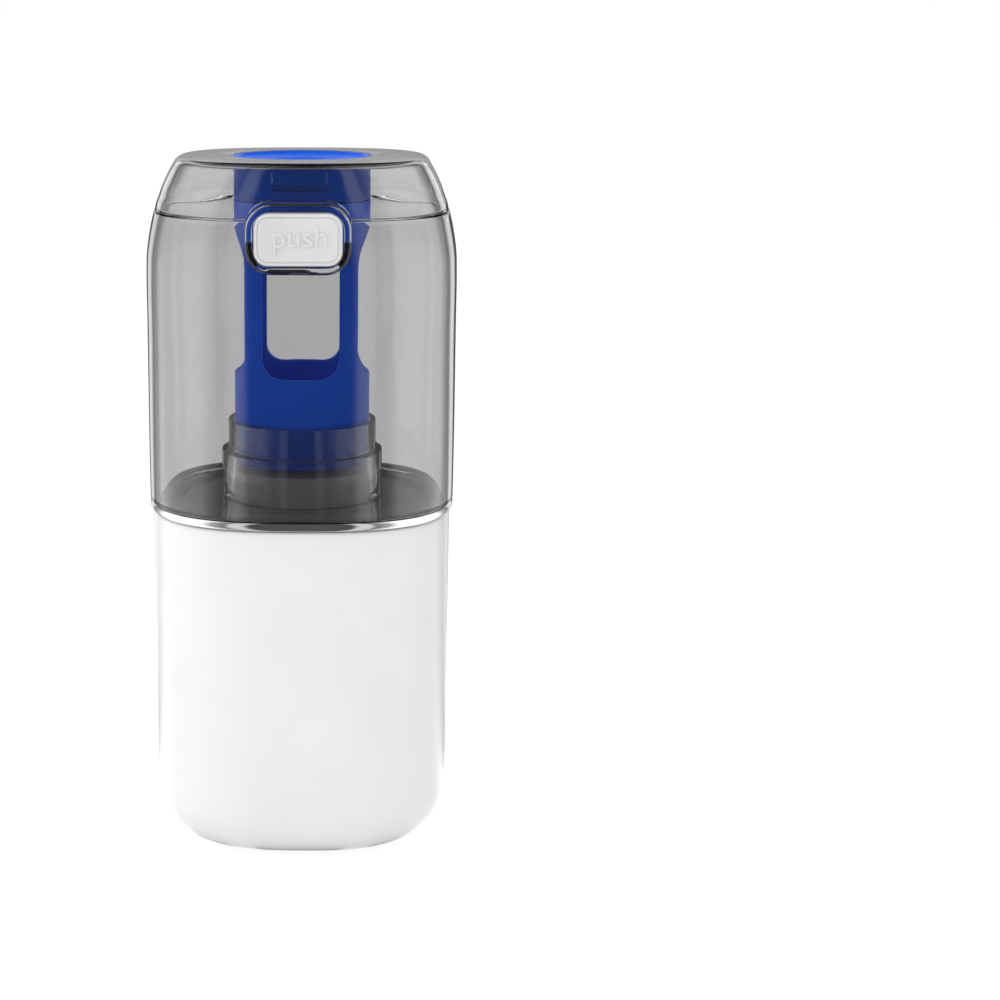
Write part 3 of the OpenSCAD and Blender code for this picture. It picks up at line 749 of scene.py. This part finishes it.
hand_over(clear_bin(), "bin", "smoke_clear", SMOKE, "reservoir_shell")
hand_over(bin_band(), "bin", "smoke_clear", BAND)
hand_over(clear_lid(), "lid", "smoke_clear", SMOKE_LID, "lid_shell")
hand_over(button_frame(), "bin", "smoke_clear", SMOKE_COLLAR, "button_bezel")
hand_over(button_cap(), "button", "button_plastic", BUTTON, "press_button")
hand_over(button_word(), "button", "button_plastic", BUTTON)
hand_over(button_stem(), "button", "button_plastic", BUTTON)
coil = button_coil()
coil.data.materials.append(STEEL)
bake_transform(coil)
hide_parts("button_spring")
hand_over(block("latch_arm_foot", (-4, -35.7, 148.6), (4, -27.8, 150.5)), "button",
          "button_plastic", BUTTON)
hand_over(block("latch_arm", (-4, -28.85, 150.0), (4, -27.8, 154.9)), "button",
          "button_plastic", BUTTON)
hand_over(latch_tongue(), "lid", "smoke_clear", SMOKE)
hand_over(block("latch_ledge", (-4, -30.45, 152.1), (4, -29.35, 153.1), 0.15), "lid",
          "smoke_clear", SMOKE)
# The latch ribs take the paler collar smoke finish instead of the bin's, so they read
# lighter: a painted glint on clear plastic.
for side, x in (("left", -6.4), ("right", 6.05)):
    hand_over(block("latch_rib_" + side, (x, -30.4, 163.8), (x + 0.35, -28.9, 166.1), 0.1),
              "lid", "smoke_clear", SMOKE_COLLAR)
hand_over(knuckle("bin_knuckle_left", -10, -5, 1.02), "bin", "smoke_clear", SMOKE)
hand_over(knuckle("bin_knuckle_right", 5, 10, 1.02), "bin", "smoke_clear", SMOKE)
hand_over(knuckle("lid_knuckle", -4.5, 4.5, 1.06), "lid", "smoke_clear", SMOKE)
hand_over(block("lid_hinge_web", (-4.4, 34.9, 156.3), (4.4, 36.6, 158.0)), "lid",
          "smoke_clear", SMOKE)


# ------------------------------------------------------------- blue cage

def cage():
    """Tube with four upright windows. Each quarter is a skin between the window's
    edge and the quarter's own edge, outside and inside, with a softened window rim."""
    r, z0, z1 = CAGE_HIGH[0], CAGE_LOW[2], CAGE_HIGH[2]
    thick, soft, eighth_turn = 2.5, 0.45, np.pi / 4
    low, high, width, corner, dome = 116.0, 150.7, 18.5, 4.5, 8.5
    middle, tall = (low + high) / 2, high - low

    def window(grow):
        """The window's edge, grown by grow all round."""
        return rounded_box_line(width + 2 * grow, tall + 2 * grow, corner + grow, 9,
                                dome + grow)

    line = window(0)
    way = np.arctan2(line[:, 1] / tall, line[:, 0] / width)
    cosw, sinw = np.cos(way), np.sin(way)
    reaches_corners = 1.08

    def wall(radius, grow):
        """Rows from the quarter's edge to the window's edge on one radius."""
        edge = window(grow)
        at = np.arcsin(edge[:, 0] / radius)
        z = edge[:, 1] + middle
        scale = reaches_corners / np.maximum(np.abs(cosw), np.abs(sinw))
        far_t = eighth_turn * np.clip(cosw * scale, -1, 1)
        up = np.clip(sinw * scale, -1, 1)
        far_z = np.where(up > 0, middle + up * (z1 - middle), middle + up * (middle - z0))
        v = np.linspace(0, 1, 9)[:, None] ** 1.3
        t = far_t * (1 - v) + at * v
        h = far_z * (1 - v) + z * v
        return np.stack([radius * np.sin(t), -radius * np.cos(t), h], -1)

    outside, inside = wall(r, soft), wall(r - thick, soft * 0.6)
    rim = []
    for depth, grow in ((0.13, 0.13), (0.45, 0.0), (2.2, 0.0)):
        edge, radius = window(grow * soft), r - depth
        rim.append(np.stack([edge[:, 0], -np.sqrt(radius ** 2 - edge[:, 0] ** 2),
                             edge[:, 1] + middle], -1)[None])
    quarter = np.concatenate([outside, *rim, inside[::-1]])
    grids = []
    for k in range(4):
        c, s = math.cos(k * math.pi / 2), math.sin(k * math.pi / 2)
        spin = np.array([[c, -s, 0], [s, c, 0], [0, 0, 1]])
        grids.append((quarter @ spin.T, False, True))
    return joined("blue_cage", grids, 2e-6)


def close_cage_ends(piece):
    """Joins the outer and inner circles at both ends of the cage."""
    work = bmesh.new()
    work.from_mesh(piece.data)
    open_edges = [e for e in work.edges if e.is_boundary]
    for level in (CAGE_LOW[2] * MM, CAGE_HIGH[2] * MM):
        ring = [e for e in open_edges if all(abs(v.co.z - level) < 1e-5 for v in e.verts)]
        bmesh.ops.bridge_loops(work, edges=ring)
    bmesh.ops.recalc_face_normals(work, faces=work.faces)
    work.to_mesh(piece.data)
    work.free()
    return smooth(piece, 40)


hand_over(close_cage_ends(cage()), "cutter", "blue_plastic", BLUE_CAGE, "cutter_cage")

floor_disc = turned_piece("cage_floor", [
    (3.0, 94.5), (14.25, 94.5), (14.25, 98.3), (3.0, 98.5)], [0.1, 0.3, 0.1, 0.2])
hand_over(floor_disc, "cutter", "blue_plastic", BLUE_CAGE)


# ---------------------------------------------------- stage, light, camera

SEEN_WHITE, FILL, MIRRORED = 1.0, 0.46, 1.9
FLOOR_GLOW = 0.91
LENS, SENSOR, SHIFT = 80.28, 36, 0.1978
CAMERA_TURN, CAMERA_DOWN = math.radians(1.4), math.radians(12.6)
CAMERA_AWAY, CAMERA_HIGH = 0.543, 0.2046


def seen_or_felt(nodes, links):
    """Two switches: 1 for rays that have been scattered, and 1 for rays that come from
    a glossy reflection."""
    path = nodes.new("ShaderNodeLightPath")
    return [worked_out(nodes, links, "MINIMUM", path.outputs[depth], 1)
            for depth in ("Diffuse Depth", "Glossy Depth")]


def switched(nodes, links, fac, first, second):
    """First shader where fac is 0, second where it is 1."""
    mix = nodes.new("ShaderNodeMixShader")
    links.new(fac, mix.inputs["Fac"])
    links.new(first, mix.inputs[1])
    links.new(second, mix.inputs[2])
    return mix.outputs["Shader"]


def side_glow(nodes, links, place):
    """How bright the surroundings look in a reflection, by their direction on the
    level: dim ahead and behind, a narrow strip at each front quarter, bright aside."""
    level = nodes.new("ShaderNodeVectorMath")
    level.operation = "MULTIPLY"
    level.inputs[1].default_value = (1, 1, 0)
    unit = nodes.new("ShaderNodeVectorMath")
    unit.operation = "NORMALIZE"
    parts = nodes.new("ShaderNodeSeparateXYZ")
    links.new(place, level.inputs[0])
    links.new(level.outputs["Vector"], unit.inputs[0])
    links.new(unit.outputs["Vector"], parts.inputs["Vector"])
    aside = worked_out(nodes, links, "ABSOLUTE", parts.outputs["X"])
    ramp = nodes.new("ShaderNodeValToRGB")
    ramp.color_ramp.interpolation = "EASE"
    stops = [(0.0, 0.07), (0.32, 0.06), (0.40, 0.55), (0.52, 0.55), (0.60, 0.16),
             (0.72, 0.3), (0.9, 1.0)]
    elements = ramp.color_ramp.elements
    while len(elements) < len(stops):
        elements.new(0.5)
    for element, (at, value) in zip(elements, stops):
        element.position = at
        element.color = (value, value, value, 1)
    links.new(aside, ramp.inputs["Fac"])
    return worked_out(nodes, links, "MULTIPLY", ramp.outputs["Color"], MIRRORED)


def stage():
    """Wide pale floor that reads as even white, with a soft contact shade. In
    reflections it goes on from the studio's side glow."""
    reach_mm = 30000
    xs = np.linspace(-reach_mm, reach_mm, 9)
    grid = np.stack([*np.meshgrid(xs, xs), np.zeros((9, 9))], -1)
    piece = mesh_of("pale_floor", grid.reshape(-1, 3), [skin(grid, False, False)])
    made, nodes, links, out = finish_tree("pale_floor_finish")
    pale = nodes.new("ShaderNodeBsdfDiffuse")
    pale.inputs["Color"].default_value = (0.9, 0.9, 0.9, 1)
    dim = nodes.new("ShaderNodeBsdfDiffuse")
    dim.inputs["Color"].default_value = (0.2, 0.2, 0.2, 1)
    glow = nodes.new("ShaderNodeEmission")
    glow.inputs["Strength"].default_value = FLOOR_GLOW
    add = nodes.new("ShaderNodeAddShader")
    links.new(dim.outputs["BSDF"], add.inputs[0])
    links.new(glow.outputs["Emission"], add.inputs[1])
    mirrored = nodes.new("ShaderNodeEmission")
    where = nodes.new("ShaderNodeNewGeometry")
    links.new(side_glow(nodes, links, where.outputs["Position"]),
              mirrored.inputs["Strength"])
    felt, glossy = seen_or_felt(nodes, links)
    seen = switched(nodes, links, felt, add.outputs["Shader"], pale.outputs["BSDF"])
    links.new(switched(nodes, links, glossy, seen, mirrored.outputs["Emission"]),
              out.inputs["Surface"])
    piece.data.materials.append(made)


def studio_air():
    """World light: white where it is seen or seen through the clear walls, softer as
    fill light, and a glow from the sides in reflections."""
    world = bpy.data.worlds.new("studio")
    bpy.context.scene.world = world
    world.use_nodes = True
    world.cycles.sampling_method = "NONE"
    nodes, links = world.node_tree.nodes, world.node_tree.links
    nodes.clear()
    out = nodes.new("ShaderNodeOutputWorld")
    white, fill, glow = (nodes.new("ShaderNodeBackground") for _ in range(3))
    for shade in (white, fill, glow):
        shade.inputs["Color"].default_value = (1, 1, 1, 1)
    white.inputs["Strength"].default_value = SEEN_WHITE
    fill.inputs["Strength"].default_value = FILL
    where = nodes.new("ShaderNodeTexCoord")
    links.new(side_glow(nodes, links, where.outputs["Generated"]), glow.inputs["Strength"])
    felt, glossy = seen_or_felt(nodes, links)
    seen = switched(nodes, links, glossy, white.outputs["Background"],
                    glow.outputs["Background"])
    links.new(switched(nodes, links, felt, seen, fill.outputs["Background"]),
              out.inputs["Surface"])


def soft_light(name, place, size, power, mirrored=False):
    """Rectangular soft light aimed at the middle of the body; mirrored says if
    reflections show it."""
    data = bpy.data.lights.new(name, "AREA")
    data.shape = "RECTANGLE"
    data.size, data.size_y = size
    data.energy = power
    lamp = bpy.data.objects.new(name, data)
    bpy.context.scene.collection.objects.link(lamp)
    lamp.location = place
    lamp.visible_glossy = mirrored
    lamp.visible_camera = False
    lamp.visible_transmission = False
    aim = Vector((0, 0, 0.09)) - Vector(place)
    lamp.rotation_euler = aim.to_track_quat("-Z", "Y").to_euler()


def around(turned, away, high):
    """Place at a turn in degrees from straight in front, a distance and a height."""
    t = math.radians(turned)
    return away * math.sin(t), -away * math.cos(t), high


def lights():
    """World light, a soft light at each side, and above, in front and behind, and a
    tall strip and a near card at each front quarter."""
    studio_air()
    soft_light("left_soft_light", (-0.42, -0.06, 0.33), (0.25, 0.66), 0.95)
    soft_light("right_soft_light", (0.42, -0.02, 0.33), (0.14, 0.66), 0.16)
    soft_light("front_soft_light", (-0.15, -1.3, 0.7), (0.8, 0.8), 2.2)
    for side, turned in (("left", -27), ("right", 30)):
        soft_light("strip_light_" + side, around(turned, 1.4, 0.55), (0.32, 1.0), 1.8)
        soft_light("side_card_" + side, around(1.6 * turned, 0.44, 0.28), (0.2, 0.56),
                   0.24)
    soft_light("front_card", (0.0, -1.5, 0.5), (0.9, 0.8), 0.4)
    soft_light("rear_card", (0.0, 1.5, 0.38), (1.6, 0.5), 1.5, True)
    soft_light("top_soft_light", (0.0, 0.05, 1.0), (0.6, 0.6), 4.0)


def camera():
    """Camera a little to the right of straight in front, looking slightly down."""
    scene = bpy.context.scene
    scene.view_settings.view_transform = "Standard"
    data = bpy.data.cameras.new("camera")
    data.sensor_width, data.lens, data.shift_x = SENSOR, LENS, SHIFT
    data.clip_end = 80
    seat = bpy.data.objects.new("camera", data)
    scene.collection.objects.link(seat)
    seat.location = (CAMERA_AWAY * math.sin(CAMERA_TURN),
                     -CAMERA_AWAY * math.cos(CAMERA_TURN), CAMERA_HIGH)
    seat.rotation_euler = (math.pi / 2 - CAMERA_DOWN, 0, CAMERA_TURN)
    scene.camera = seat


stage()
lights()
camera()
